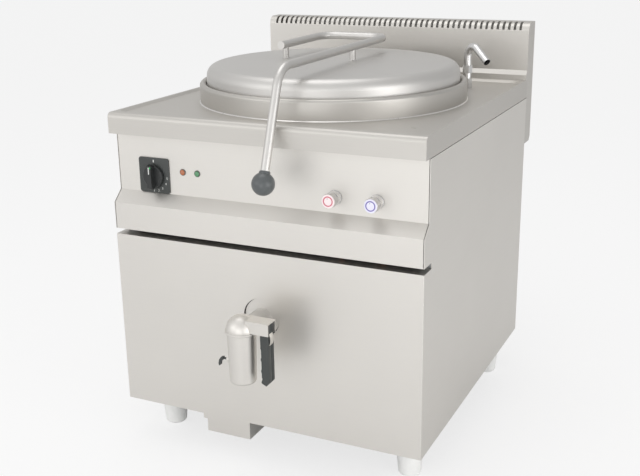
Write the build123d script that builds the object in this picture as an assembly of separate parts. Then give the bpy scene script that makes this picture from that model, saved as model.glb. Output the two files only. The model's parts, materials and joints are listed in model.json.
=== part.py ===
from build123d import *
import math
import os

# Steam jacketed kettle, 150 litre class, in an 800 x 900 cooking-line module.
# Lengths in mm.  X runs across the front, Y from the front panel to the rear,
# Z up from the floor.  The frame is shifted at export so that the origin is
# the bottom centre of the bounding box.

# ---- overall ----
WIDTH = 800.0
TOP_HIGH = 850.0  # height of the work surface
SPLASH_RISE = 155.0  # splash box above the work surface
HEIGHT = TOP_HIGH + SPLASH_RISE
FLOOR_GAP = 104.0
SHEET = 1.5
HALF = WIDTH / 2
INSIDE = HALF - SHEET
FIT = 0.05  # radial clearance of a turning fit
CLEAR = 0.3  # gap between pieces that move past each other

# ---- vessel radii, and the body's depth, which follows from them ----
PAN_R = 300.0
PAN_WALL = 2.0
COLLAR_R = PAN_R + 40.5
COLLAR_LIP_R = PAN_R + 24.5
COLLAR_SHEET = 2.0
JACKET_R = PAN_R + 35.0
INSULATION_R = JACKET_R + 20.0
CENTRE_Y = INSULATION_R + 65.0
BODY_BACK = CENTRE_Y + COLLAR_R + 79.5
DEPTH = BODY_BACK + 60.0

# ---- worktop ----
APRON = 50.0  # front edge of the worktop, top to bottom
TOP_LOW = TOP_HIGH - APRON
TOP_SHEET = 2.0
WELL_DEEP = 6.0
WELL_Z = TOP_HIGH - WELL_DEEP
NOSE_R = 12.0
WELL_FRONT = 26.0
WELL_BACK = BODY_BACK - 28.0
WELL_HALF = HALF - 6.0
WELL_STEP = 7.0
WELL_R = 28.0

# ---- frame ----
POST_SHEET = 1.5
POST_SIDE = INSIDE - 0.5  # outer face of the corner posts
TRAY_HALF = POST_SIDE - POST_SHEET
POST_LEG = 23.0
POST_DEEP = 25.0
POST_FRONT = 52.0
POST_REAR = BODY_BACK - 64.0
RAIL_HALF = POST_SIDE - 13.0
RAIL_SHEET = 2.0
RAIL_HIGH = WELL_Z - TOP_SHEET
RAIL_LOW = RAIL_HIGH - 24.0

# ---- front ----
PANEL_Y = 30.0
PANEL_TOP = TOP_LOW - 2.0
PANEL_HALF = HALF - 3.0
SIDE_TOP = TOP_LOW - 1.5
SLANT_HIGH = PANEL_TOP - 141.0
SLANT_LOW = SLANT_HIGH - 27.0
SLOT_TOP = SLANT_LOW - 66.0
DOOR_TOP = SLOT_TOP - 14.0
DOOR_FLANGE = 49.0

# ---- vessel heights ----
PAN_BOTTOM = WELL_Z - 482.0
PAN_ROUND = 40.0
RIM_Z = WELL_Z + 38.0
COLLAR_TOP = RIM_Z + 12.0
JACKET_WALL = 3.0
JACKET_BOTTOM = PAN_BOTTOM - 72.0
JACKET_TOP = WELL_Z - 44.0
JACKET_ROUND = 45.0
INSULATION_TOP = JACKET_TOP - 5.0

# ---- lid and its handle ----
LID_R = COLLAR_LIP_R - 2.5
LID_SHEET = 1.7
LID_LOW = RIM_Z + 3.3
LID_EDGE_Z = LID_LOW + 49.9
LID_TOP = LID_EDGE_Z + 3.8
LID_ROUND = 26.0
GASKET_R = LID_R - 10.0
HANDLE_R = 10.0
HANDLE_WALL = 1.5
HANDLE_Z = LID_TOP + 34.0
LEVER_X = 50.0
SHORT_X = -140.0
CROSS_Y = CENTRE_Y + LID_R - 74.0
POST_Y = CENTRE_Y + 10.0
POST_R = 8.0
BALL = (LEVER_X, -62.0, HANDLE_Z - 240.0)
BALL_R = 26.0
HINGE_Y = CENTRE_Y + LID_R + 48.0
HINGE_Z = LID_LOW + 14.7
HINGE_PIN_R = 5.0
LEAF_HALF = 42.0

# ---- splash box ----
SPLASH_Y = DEPTH - 66.0
SPLASH_FOOT_Y = SPLASH_Y - 8.0
SPLASH_LOW = TOP_HIGH - 181.0
SLOT_PITCH = 16.0
SLOT_COUNT = int((WIDTH - 32.0) // SLOT_PITCH)
SLOT_WIDTH = 7.0
SLOT_Z = HEIGHT - 20.0

# ---- water ----
PIPE_R = 7.5
PIPE_WALL = 1.0
THREAD_R = 8.3  # G 3/8 thread of the water inlets
TAP_X = (HALF - 221.0, HALF - 121.0)
TAP_Z = PANEL_TOP - 105.0
TAP_BODY_Y = PANEL_Y + 36.0
TAP_BODY_R = 9.0
SPINDLE_R = 4.0
ROSE_R = 16.0
ROSE_LONG = 17.0
KNOB_LONG = 20.7
KNOB_Y = PANEL_Y - ROSE_LONG - CLEAR  # back of the tap knobs
INDEX_R = 11.6
INLET_Z = 180.0
MANIFOLD_Z = JACKET_TOP + PIPE_R + 1.0
MANIFOLD_X = HALF - 24.0
SPOUT_X = HALF - 125.0
SPOUT_Y = CENTRE_Y + COLLAR_R - 77.5
SPOUT_R = 10.0
SPOUT_HEADING = -38.0
SPOUT_BASE_TOP = WELL_Z + 26.0
SPOUT_NUT_Z = SPOUT_BASE_TOP + 14.0
SPOUT_BEND_Z = SPOUT_NUT_Z + 93.0
SPOUT_REACH = 86.0
SPOUT_DROP = 56.0
SPOUT_THREAD_R = 10.0

# ---- drain valve ----
DRAIN_Y = -95.0
DRAIN_PIPE_R = 25.0
DRAIN_PIPE_Z = PAN_BOTTOM + 26.0
DOOR_HOLE_R = 47.0
DOOR_HOLE_Z = DRAIN_PIPE_Z + 2.0
RIM_BEAD_R = 38.5
BARREL_TOP = DRAIN_PIPE_Z + 8.7
BARREL_LOW = DRAIN_PIPE_Z - 120.0
BORE_LOW = DRAIN_PIPE_Z - 88.0
OUTLET_R = 20.0
CAP_R = 36.0
CAP_Z = BARREL_TOP + CLEAR
PLUG_BORE_R = 26.1
PORT_Z = DRAIN_PIPE_Z - 10.0
PORT_R = 11.0
STEM_R = 6.0
ARM_TOP = CAP_Z + 30.0
LOCK_Z = DRAIN_PIPE_Z - 71.0
LOCK_PIN_R = 2.5

# ---- electrics ----
REGULATOR = (104.0 - HALF, PANEL_TOP - 99.5)
LAMPS = {"amber_lamp": 184.0 - HALF, "green_lamp": 224.0 - HALF}
LAMP_Z = PANEL_TOP - 84.0
LAMP_R = 5.0
HEATER = (-120.0, JACKET_BOTTOM + 40.0)
HEATER_Y = CENTRE_Y - JACKET_R - 15.0  # mounting face of the heater flange
GLAND = (-105.0, 82.0)
GLAND_BORE_R = 5.0
SERVICE_X = (-166.0, -45.0)
SERVICE_LOW = FLOOR_GAP - 47.0

# ---- feet ----
FEET_FRONT = (HALF - 66.0, 110.0)
FEET_REAR = (HALF - 60.0, BODY_BACK - 95.0)
FEET = tuple((side * x, y) for x, y in (FEET_FRONT, FEET_REAR) for side in (-1, 1))
FOOT_R = 32.5
FOOT_BOLT_R = 6.0

FRONT_MOST = DRAIN_Y - RIM_BEAD_R
ORIGIN_Y = (DEPTH + FRONT_MOST) / 2


def box(x0, x1, y0, y1, z0, z1):
    """Block between two corners."""
    place = Pos((x0 + x1) / 2, (y0 + y1) / 2, (z0 + z1) / 2)
    return place * Box(x1 - x0, y1 - y0, z1 - z0)


def rod(axis, a, b, start, end, radius):
    """Round bar along AXIS; A and B are its two other coordinates in x, y, z order."""
    bar = Cylinder(radius, end - start)
    middle = (start + end) / 2
    if axis == "x":
        return Pos(middle, a, b) * Rot(0, 90, 0) * bar
    if axis == "y":
        return Pos(a, middle, b) * Rot(90, 0, 0) * bar
    return Pos(a, b, middle) * bar


def outline(points, rounds=None):
    """Flat face through POINTS; ROUNDS gives a corner radius by point number."""
    face = make_face(Polyline(*points, close=True))
    for number, radius in (rounds or {}).items():
        corner = face.vertices().sort_by_distance((*points[number], 0))[0]
        face = fillet(corner, radius)
    return face


def turned(points, x, y, rounds=None):
    """Turn a (radius, z) outline about the vertical line through X, Y."""
    return Pos(x, y, 0) * revolve(Plane.XZ * outline(points, rounds), Axis.Z)


def turned_front(points, x, z, rounds=None):
    """Turn a (radius, -y) outline about the line through X, Z that points forward."""
    return Pos(x, 0, z) * Rot(90, 0, 0) * revolve(Plane.XZ * outline(points, rounds), Axis.Z)


def along_x(points, x0, x1, rounds=None):
    """Extrude a (y, z) outline from X0 to X1."""
    return Pos(x0, 0, 0) * extrude(Plane.YZ * outline(points, rounds), x1 - x0)


def along_y(points, y0, y1, rounds=None):
    """Extrude an (x, z) outline from Y0 to Y1."""
    return Pos(0, y1, 0) * extrude(Plane.XZ * outline(points, rounds), y1 - y0)


def sideways(points, offset):
    """Move a run of 2-D points sideways to the left by OFFSET, with mitred corners."""
    moved = []
    for i, (x, y) in enumerate(points):
        normals = []
        for a, b in ((i - 1, i), (i, i + 1)):
            if a >= 0 and b < len(points):
                dx = points[b][0] - points[a][0]
                dy = points[b][1] - points[a][1]
                length = math.hypot(dx, dy)
                normals.append((-dy / length, dx / length))
        nx = sum(n[0] for n in normals)
        ny = sum(n[1] for n in normals)
        if len(normals) == 1:
            scale = offset
        else:
            dot = normals[0][0] * normals[1][0] + normals[0][1] * normals[1][1]
            scale = offset / (1 + dot)
        moved.append((x + nx * scale, y + ny * scale))
    return moved


def folded(points, sheet):
    """Closed outline of a sheet folded along POINTS, its thickness on the left."""
    return points + sideways(points, sheet)[::-1]


def tube(points, bends, radius, wall=0.0):
    """Pipe along POINTS with bend radii BENDS; WALL 0 makes it solid."""
    path = FilletPolyline(*points, radius=bends) if bends else Line(*points)
    section = Circle(radius)
    if wall:
        section -= Circle(radius - wall)
    return sweep(Plane(origin=path @ 0, z_dir=path % 0) * section, path=path)


def mirrored(shape):
    """The same piece on the other side of the centre plane."""
    return mirror(shape, Plane.YZ)


def save(name, *shapes):
    """Write one node; several shapes become one group of separate solids."""
    solids = [solid for shape in shapes for solid in shape.solids()]
    body = solids[0] if len(solids) == 1 else Compound(solids)
    export_step(Pos(0, -ORIGIN_Y, 0) * body, f"parts/{name}.step")


# ---- sheet metal body ----

def body_panels():
    """Base tray, posts, rails and the outer panels."""
    low = FLOOR_GAP + SHEET
    rear = BODY_BACK - 4
    tray = box(-TRAY_HALF, TRAY_HALF, 4, rear, low, low + 2)
    tray += box(-TRAY_HALF, TRAY_HALF, 4, 5.5, low + 2, low + 24)
    tray += box(-TRAY_HALF, TRAY_HALF, rear - 1.5, rear, low + 2, low + 24)
    for x, y in FEET:
        tray -= rod("z", x, y, low - 1, low + 3, FOOT_BOLT_R + CLEAR)
    tray -= box(SERVICE_X[0] + 16, SERVICE_X[1] - 15, 20, 60, low - 1, low + 3)
    for x in range(-200, 201, 50):
        tray -= box(x - 4, x + 4, CENTRE_Y - 90, CENTRE_Y + 90, low - 1, low + 3)
    save("base_tray", tray)

    posts = []
    for y, lip in ((POST_FRONT, 0), (POST_REAR, POST_DEEP - POST_SHEET)):
        post = box(TRAY_HALF, POST_SIDE, y, y + POST_DEEP, low + 2, RAIL_LOW)
        post += box(
            TRAY_HALF - POST_LEG, TRAY_HALF, y + lip, y + lip + POST_SHEET, low + 2, RAIL_LOW
        )
        posts += [post, mirrored(post)]
    save("corner_posts", *posts)

    rails = []
    for y in (POST_FRONT - 2, POST_REAR):
        rail = box(-RAIL_HALF, RAIL_HALF, y, y + POST_DEEP, RAIL_LOW, RAIL_HIGH)
        rail -= box(
            -HALF, HALF, y + RAIL_SHEET, y + POST_DEEP - RAIL_SHEET,
            RAIL_LOW + RAIL_SHEET, RAIL_HIGH - RAIL_SHEET,
        )
        rail -= box(-HALF, HALF, y + 8, y + POST_DEEP - 8, RAIL_LOW - 1, RAIL_LOW + 3)
        rails.append(rail)
    save("top_rails", *rails)

    edge = [
        (SHEET, FLOOR_GAP), (SHEET, DOOR_TOP), (DOOR_FLANGE, DOOR_TOP),
        (DOOR_FLANGE, SLOT_TOP), (0.5, SLOT_TOP), (0.5, SLANT_LOW),
        (PANEL_Y, SLANT_HIGH), (PANEL_Y, SIDE_TOP), (BODY_BACK - SHEET, SIDE_TOP),
        (BODY_BACK - SHEET, FLOOR_GAP),
    ]
    side = along_x(edge, INSIDE, HALF)
    rear = BODY_BACK - SHEET
    front = POST_FRONT + POST_DEEP + 1
    side += box(INSIDE - 20, INSIDE, SHEET, rear - SHEET, FLOOR_GAP, low)
    side += box(INSIDE - 12, INSIDE, front, POST_REAR - 1, SIDE_TOP - SHEET, SIDE_TOP)
    side += box(INSIDE - 20, INSIDE, rear - SHEET, rear, FLOOR_GAP, SIDE_TOP)
    save("right_side_panel", side)
    save("left_side_panel", mirrored(side))

    back = box(-HALF, HALF, BODY_BACK - SHEET, BODY_BACK, FLOOR_GAP, SIDE_TOP)
    for x in TAP_X:
        back -= rod("y", x, INLET_Z, BODY_BACK - 10, BODY_BACK + 10, PIPE_R + 1.5)
    for z in range(480, 601, 20):
        for x in (-200, -60, 60, 200):
            back -= box(x - 50, x + 50, BODY_BACK - 10, BODY_BACK + 10, z - 3, z + 3)
    screws = []
    for z in (150, 300, 450, 620):
        for x in (12 - HALF, HALF - 12):
            back -= rod("y", x, z, BODY_BACK - 10, BODY_BACK + 10, 2.4)
            screw = rod("y", x, z, BODY_BACK, BODY_BACK + 3, 4.5)
            screws.append(screw + rod("y", x, z, BODY_BACK - SHEET, BODY_BACK, 2.3))
    save("rear_panel", back)
    save("rear_screws", *screws)

    run = [
        (POST_FRONT - 2, PANEL_TOP), (PANEL_Y, PANEL_TOP), (PANEL_Y, SLANT_HIGH),
        (0.5, SLANT_LOW), (0.5, SLOT_TOP), (25, SLOT_TOP),
    ]
    panel = along_x(folded(run, SHEET), -PANEL_HALF, PANEL_HALF)
    end = box(
        PANEL_HALF - SHEET, PANEL_HALF, PANEL_Y + SHEET, POST_FRONT, SLANT_HIGH + 3,
        PANEL_TOP - SHEET,
    )
    panel += end + mirrored(end)
    holes = [(*REGULATOR, 6)] + [(x, LAMP_Z, LAMP_R + 0.2) for x in LAMPS.values()]
    for x, z, radius in holes + [(x, TAP_Z, TAP_BODY_R + 2) for x in TAP_X]:
        panel -= rod("y", x, z, PANEL_Y - 10, PANEL_Y + 10, radius)
    save("control_panel", panel)

    run = [
        (DOOR_FLANGE, DOOR_TOP), (0, DOOR_TOP), (0, FLOOR_GAP), (15, FLOOR_GAP),
    ]
    door = along_x(folded(run, SHEET), -INSIDE + 20.2, INSIDE - 20.2)
    door += box(-INSIDE, INSIDE, 0, DOOR_FLANGE, DOOR_TOP - SHEET, DOOR_TOP)
    face = box(-HALF, HALF, 0, SHEET, FLOOR_GAP, DOOR_TOP)
    corners = face.edges().filter_by(Axis.Z).sort_by(Axis.Y)[:2]
    door += fillet(corners, 1.3)
    edge = TRAY_HALF - 0.1
    end = box(edge - SHEET, edge, SHEET, POST_FRONT, low + 26, DOOR_TOP - SHEET)
    door += end + mirrored(end)
    door -= rod("y", 0, DOOR_HOLE_Z, -5, 10, DOOR_HOLE_R)
    save("front_panel", door)

    x0, x1 = SERVICE_X
    case = box(x0, x1, 2, 80, SERVICE_LOW, FLOOR_GAP)
    case -= box(x0 + SHEET, x1 - SHEET, 2 + SHEET, 80 - SHEET, SERVICE_LOW + SHEET, low + 1)
    case += box(x0 - 11, x0, 2, 2 + SHEET, FLOOR_GAP - 14, FLOOR_GAP)
    case -= rod("y", *GLAND, 70, 90, 8.2)
    save("service_box", case)

    gland = rod("y", *GLAND, 80, 86, 12) + rod("y", *GLAND, 86, 100, 10)
    gland += rod("y", *GLAND, 72, 80, 8)
    gland -= rod("y", *GLAND, 60, 110, GLAND_BORE_R)
    save("cable_gland", gland)

    sockets = []
    feet = []
    for x, y in FEET:
        plate = box(x - 35, x + 35, y - 35, y + 35, FLOOR_GAP - 3, low)
        sockets.append(plate - rod("z", x, y, FLOOR_GAP - 10, low + 5, FOOT_BOLT_R + FIT))
        top = FLOOR_GAP - 3
        bolt = FOOT_BOLT_R
        profile = [
            (0, 0), (27, 0), (FOOT_R, top - 41), (FOOT_R, top), (bolt, top), (bolt, top + 25),
            (0, top + 25),
        ]
        feet.append(turned(profile, x, y, {1: 7, 3: 2}))
    save("foot_sockets", *sockets)
    save("feet", *feet)


def rounded_block(half, y0, y1, z, corner):
    """Rectangle with round corners at height Z."""
    sketch = RectangleRounded(2 * half, y1 - y0, corner)
    return Pos(0, (y0 + y1) / 2, z) * sketch


def well_cut(grow, top, bottom):
    """Tapered pocket of the worktop well, grown sideways by GROW."""
    slope = WELL_STEP / (TOP_HIGH - WELL_Z)
    low = WELL_STEP + (WELL_Z - bottom) * slope
    high = -(top - TOP_HIGH) * slope
    back = 10 / WELL_STEP
    faces = []
    for z, step in ((bottom, low), (top, high)):
        half = WELL_HALF + grow - step
        y0 = WELL_FRONT - grow + step
        y1 = WELL_BACK + grow - step * back
        faces.append(rounded_block(half, y0, y1, z, WELL_R))
    return loft(faces)


def top_pieces():
    """Worktop, collar and the splash box."""
    profile = [(0, TOP_LOW), (BODY_BACK, TOP_LOW), (BODY_BACK, TOP_HIGH), (0, TOP_HIGH)]
    t = TOP_SHEET
    hollow = [(t, TOP_LOW - 1), (BODY_BACK - t, TOP_LOW - 1), (BODY_BACK - t, TOP_HIGH - t),
              (t, TOP_HIGH - t)]
    top = along_x(profile, -HALF, HALF, {3: NOSE_R})
    cavity = along_x(hollow, -HALF + t, HALF - t, {3: NOSE_R - t})
    cavity -= well_cut(t, TOP_HIGH + 2, WELL_Z - t)
    top -= cavity
    top -= well_cut(0, TOP_HIGH + 2, WELL_Z)
    top -= rod("z", 0, CENTRE_Y, WELL_Z - 10, TOP_HIGH + 10, COLLAR_R - 4)
    top -= rod("z", SPOUT_X, SPOUT_Y, WELL_Z - 10, TOP_HIGH + 10, SPOUT_THREAD_R + 0.2)
    top -= box(HALF - 75, HALF - 63, 110.5, 113.5, WELL_Z - 10, TOP_HIGH + 10)
    top += box(-HALF + t, HALF - t, t, PANEL_Y, TOP_LOW, TOP_LOW + SHEET)
    save("worktop", top)

    bend = (COLLAR_R - COLLAR_LIP_R) / 2
    spring = COLLAR_TOP - bend
    sheet = COLLAR_SHEET
    middle = COLLAR_R - bend
    outer = ThreePointArc((COLLAR_R, spring), (middle, COLLAR_TOP), (COLLAR_LIP_R, spring))
    inner = ThreePointArc(
        (COLLAR_LIP_R + sheet, spring), (middle, COLLAR_TOP - sheet), (COLLAR_R - sheet, spring)
    )
    wire = [
        Line((COLLAR_R, WELL_Z), (COLLAR_R, spring)), outer,
        Line((COLLAR_LIP_R, spring), (COLLAR_LIP_R, RIM_Z)),
        Line((COLLAR_LIP_R, RIM_Z), (COLLAR_LIP_R + sheet, RIM_Z)),
        Line((COLLAR_LIP_R + sheet, RIM_Z), (COLLAR_LIP_R + sheet, spring)), inner,
        Line((COLLAR_R - sheet, spring), (COLLAR_R - sheet, WELL_Z)),
        Line((COLLAR_R - sheet, WELL_Z), (COLLAR_R, WELL_Z)),
    ]
    ring = revolve(Plane.XZ * make_face(wire), Axis.Z)
    save("collar_ring", Pos(0, CENTRE_Y, 0) * ring)

    shell = [
        (BODY_BACK, TOP_HIGH), (SPLASH_FOOT_Y, TOP_HIGH), (SPLASH_FOOT_Y, TOP_HIGH + 14),
        (SPLASH_Y, TOP_HIGH + 26), (SPLASH_Y, HEIGHT), (DEPTH, HEIGHT), (DEPTH, SPLASH_LOW + 12),
        (DEPTH - 12, SPLASH_LOW), (BODY_BACK, SPLASH_LOW),
    ]
    loop = shell[::-1]
    ring = [loop[-1]] + loop + [loop[0]]
    inner = sideways(ring, SHEET)[1:-1]
    splash = along_x(loop, -HALF, HALF, {4: 22, 3: 3})
    splash -= along_x(inner, -INSIDE, INSIDE, {4: 20.5, 3: 1.5})
    for i in range(SLOT_COUNT):
        x = (i - (SLOT_COUNT - 1) / 2) * SLOT_PITCH
        splash -= box(
            x - SLOT_WIDTH / 2, x + SLOT_WIDTH / 2, SPLASH_Y - 4, SPLASH_Y + 34, SLOT_Z, HEIGHT + 1
        )
    save("splash_box", splash)


def vessel():
    """Pan, jacket, insulation, gasket, elements and jacket fittings."""
    y = CENTRE_Y
    out = PAN_R + PAN_WALL
    low = PAN_BOTTOM - PAN_WALL
    flange_r = COLLAR_LIP_R + COLLAR_SHEET
    pan = turned(
        [(0, low), (out, low), (out, RIM_Z - 2), (flange_r, RIM_Z - 2), (flange_r, RIM_Z),
         (PAN_R, RIM_Z), (PAN_R, PAN_BOTTOM), (0, PAN_BOTTOM)],
        0, y, {1: PAN_ROUND + PAN_WALL, 6: PAN_ROUND},
    )
    pan -= rod("y", 0, DRAIN_PIPE_Z, y - PAN_R - 60, y - PAN_R + 180, DRAIN_PIPE_R)
    save("inner_pan", pan)
    inside = turned(
        [(0, PAN_BOTTOM), (PAN_R, PAN_BOTTOM), (PAN_R, RIM_Z), (0, RIM_Z)], 0, y, {1: PAN_ROUND}
    )

    wall = JACKET_WALL
    shut = JACKET_TOP - wall
    jacket = turned(
        [(0, JACKET_BOTTOM), (JACKET_R, JACKET_BOTTOM), (JACKET_R, JACKET_TOP), (out, JACKET_TOP),
         (out, shut), (JACKET_R - wall, shut), (JACKET_R - wall, JACKET_BOTTOM + wall),
         (0, JACKET_BOTTOM + wall)],
        0, y, {1: JACKET_ROUND, 6: JACKET_ROUND - wall},
    )
    filled = turned(
        [(0, JACKET_BOTTOM + wall), (JACKET_R - wall, JACKET_BOTTOM + wall),
         (JACKET_R - wall, shut), (0, shut)], 0, y, {1: JACKET_ROUND - wall},
    )
    front = y - JACKET_R
    jacket += rod("y", *HEATER, HEATER_Y, front + 115, 30) - filled
    jacket -= rod("y", *HEATER, HEATER_Y - 10, front + 115, 27)
    jacket -= rod("y", 0, DRAIN_PIPE_Z, front - 25, front + 115, DRAIN_PIPE_R)
    ring = (out + JACKET_R) / 2 * math.sqrt(0.5)
    spots = {"safety_valve": (-ring, y - ring), "pressure_switch": (-ring, y + ring)}
    for x, yy in spots.values():
        jacket -= rod("z", x, yy, shut - 1, JACKET_TOP + 1, 5)
    save("jacket_shell", jacket)

    wrap = rod("z", 0, y, JACKET_BOTTOM, INSULATION_TOP, INSULATION_R)
    wrap -= rod("z", 0, y, JACKET_BOTTOM - 1, INSULATION_TOP + 1, JACKET_R + CLEAR)
    wrap -= rod("y", *HEATER, front - 45, front + 100, 48)
    wrap -= rod("y", 0, DRAIN_PIPE_Z, front - 45, front + 100, DRAIN_PIPE_R + 1)
    save("insulation", wrap)

    ring = turned(
        [(GASKET_R, RIM_Z), (LID_R, RIM_Z), (LID_R, LID_LOW - CLEAR), (GASKET_R, LID_LOW - CLEAR)],
        0, y,
    )
    save("lid_gasket", ring)

    loops = []
    near = HEATER_Y - 22
    far = y + JACKET_R - 115
    plate = rod("y", *HEATER, HEATER_Y - 10, HEATER_Y, 44)
    for level, half in ((-15, 9), (0, 18), (15, 9)):
        z = HEATER[1] + level
        x0 = HEATER[0] - half
        x1 = HEATER[0] + half
        loop = [(x0, near, z), (x0, far, z), (x1, far, z), (x1, near, z)]
        loops.append(tube(loop, [half - 0.2, half - 0.2], 4.25))
        for x in (x0, x1):
            plate -= rod("y", x, z, near, HEATER_Y + 10, 4.25 + FIT)
    for k in range(6):
        angle = math.radians(60 * k + 30)
        x = HEATER[0] + 37 * math.cos(angle)
        z = HEATER[1] + 37 * math.sin(angle)
        plate += rod("y", x, z, HEATER_Y - 15, HEATER_Y - 10, 5)
    save("heating_elements", *loops)
    save("heater_flange", plate)

    top = JACKET_TOP
    x, yy = spots["safety_valve"]
    valve = turned(
        [(0, top - 5), (4.9, top - 5), (4.9, top), (9, top), (9, top + 12), (7, top + 12),
         (7, top + 28), (3, top + 28), (3, top + 38), (0, top + 38)], x, yy
    )
    save("safety_valve", valve)
    x, yy = spots["pressure_switch"]
    switch = turned(
        [(0, top - 5), (4.9, top - 5), (4.9, top), (8, top), (8, top + 8), (14, top + 8),
         (14, top + 36), (0, top + 36)], x, yy
    )
    save("pressure_switch", switch)


def drain_valve():
    """Drain pipe, its disc, the barrel, the turning cap with arm, grip and lock."""
    z = DRAIN_PIPE_Z
    joint = -45.0
    inside = turned(
        [(0, PAN_BOTTOM), (PAN_R, PAN_BOTTOM), (PAN_R, RIM_Z), (0, RIM_Z)],
        0, CENTRE_Y, {1: PAN_ROUND},
    )
    pipe = rod("y", 0, z, joint, CENTRE_Y - PAN_R + 80, DRAIN_PIPE_R) - inside
    pipe -= rod("y", 0, z, joint - 1, CENTRE_Y - PAN_R + 90, DRAIN_PIPE_R - 3)
    pipe = pipe.solids().sort_by(Axis.Y)[0]
    save("drain_pipe", pipe)
    disc = rod("y", 0, DOOR_HOLE_Z + 1, 4, 6, DOOR_HOLE_R - 2) - rod("y", 0, z, 0, 20, DRAIN_PIPE_R)
    save("pipe_disc", disc)

    bead = BARREL_TOP - 5.7
    barrel = turned(
        [(OUTLET_R, BARREL_LOW), (31.2, BARREL_LOW), (33.6, bead), (RIM_BEAD_R - 1.5, bead),
         (RIM_BEAD_R, bead + 1.5), (RIM_BEAD_R, BARREL_TOP - 1.5), (RIM_BEAD_R - 1.5, BARREL_TOP),
         (PLUG_BORE_R, BARREL_TOP), (PLUG_BORE_R, BORE_LOW), (OUTLET_R, BORE_LOW)],
        0, DRAIN_Y, {1: 7},
    )
    boss = rod("y", 0, z, DRAIN_Y, joint, DRAIN_PIPE_R)
    boss -= rod("z", 0, DRAIN_Y, BORE_LOW - 10, BARREL_TOP, PLUG_BORE_R)
    above = box(-60, 60, -200, 60, BORE_LOW, BARREL_TOP)
    boss -= Pos(0, DRAIN_Y, CAP_Z) * Sphere(CAP_R + 0.8) - above
    boss = boss.solids().sort_by(SortBy.VOLUME)[-1]
    barrel += boss
    barrel -= rod("y", 0, PORT_Z, DRAIN_Y + 20, joint + 1, PORT_R)
    barrel += rod("x", DRAIN_Y, LOCK_Z, -38, -27.5, 6)
    barrel -= rod("x", DRAIN_Y, LOCK_Z, -39, -28.2, LOCK_PIN_R + FIT)
    save("drain_barrel", barrel)

    dome = Pos(0, DRAIN_Y, CAP_Z) * Sphere(CAP_R)
    dome -= box(-50, 50, DRAIN_Y - 55, DRAIN_Y + 55, CAP_Z - 57, CAP_Z)
    arm = box(20, 78, DRAIN_Y - 19, DRAIN_Y + 18, CAP_Z + 1, ARM_TOP)
    arm -= box(10, 79, DRAIN_Y - 16.5, DRAIN_Y + 15.5, CAP_Z, ARM_TOP - 2.5)
    cap = dome + arm
    cap -= Pos(0, DRAIN_Y, CAP_Z) * Sphere(CAP_R - 3)
    hub = rod("z", 0, DRAIN_Y, CAP_Z + 3, ARM_TOP + 4, 10)
    cap += hub
    cap -= rod("z", 0, DRAIN_Y, CAP_Z + 2, ARM_TOP, STEM_R)
    save("drain_cap", cap)

    plug = rod("z", 0, DRAIN_Y, BORE_LOW + CLEAR, BARREL_TOP - CLEAR, PLUG_BORE_R - FIT)
    plug -= rod("z", 0, DRAIN_Y, BORE_LOW - 1, PORT_Z, 16)
    plug -= rod("x", DRAIN_Y, PORT_Z, -30, 0, PORT_R)
    plug += rod("z", 0, DRAIN_Y, BARREL_TOP - CLEAR, ARM_TOP, STEM_R)
    save("drain_plug", plug)

    top = ARM_TOP - 2.5
    grip = along_y(
        [(55, z - 110), (66.5, z - 115.5), (75, z - 106), (75, z - 16), (78, z - 8), (78, z + 4),
         (75, z + 12), (75, top), (54, top), (54, z - 98)],
        DRAIN_Y - 14, DRAIN_Y, {1: 4},
    )
    for low in (-89, -59, -29):
        grip -= rod("y", 42, z + low + 8, DRAIN_Y - 25, DRAIN_Y + 25, 15)
    grip += along_y(
        [(47.5, z - 104), (55, z - 111), (66.5, z - 115.5), (75, z - 106), (75, top), (54, top),
         (54, z - 10), (47.5, z - 18)],
        DRAIN_Y, DRAIN_Y + 14, {2: 4},
    )
    save("drain_grip", grip)

    lock = rod("x", DRAIN_Y, LOCK_Z, -56, -28.5, LOCK_PIN_R)
    at = LOCK_Z
    lock += along_y(
        [(-50, at + 4), (-56, at + 3), (-61, at - 4), (-63, at - 13), (-62, at - 20),
         (-58, at - 17), (-57, at - 10), (-54, at - 5), (-50, at - 3)],
        DRAIN_Y - 4, DRAIN_Y + 4, {4: 1, 5: 1},
    )
    save("lock_lever", lock)


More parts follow.
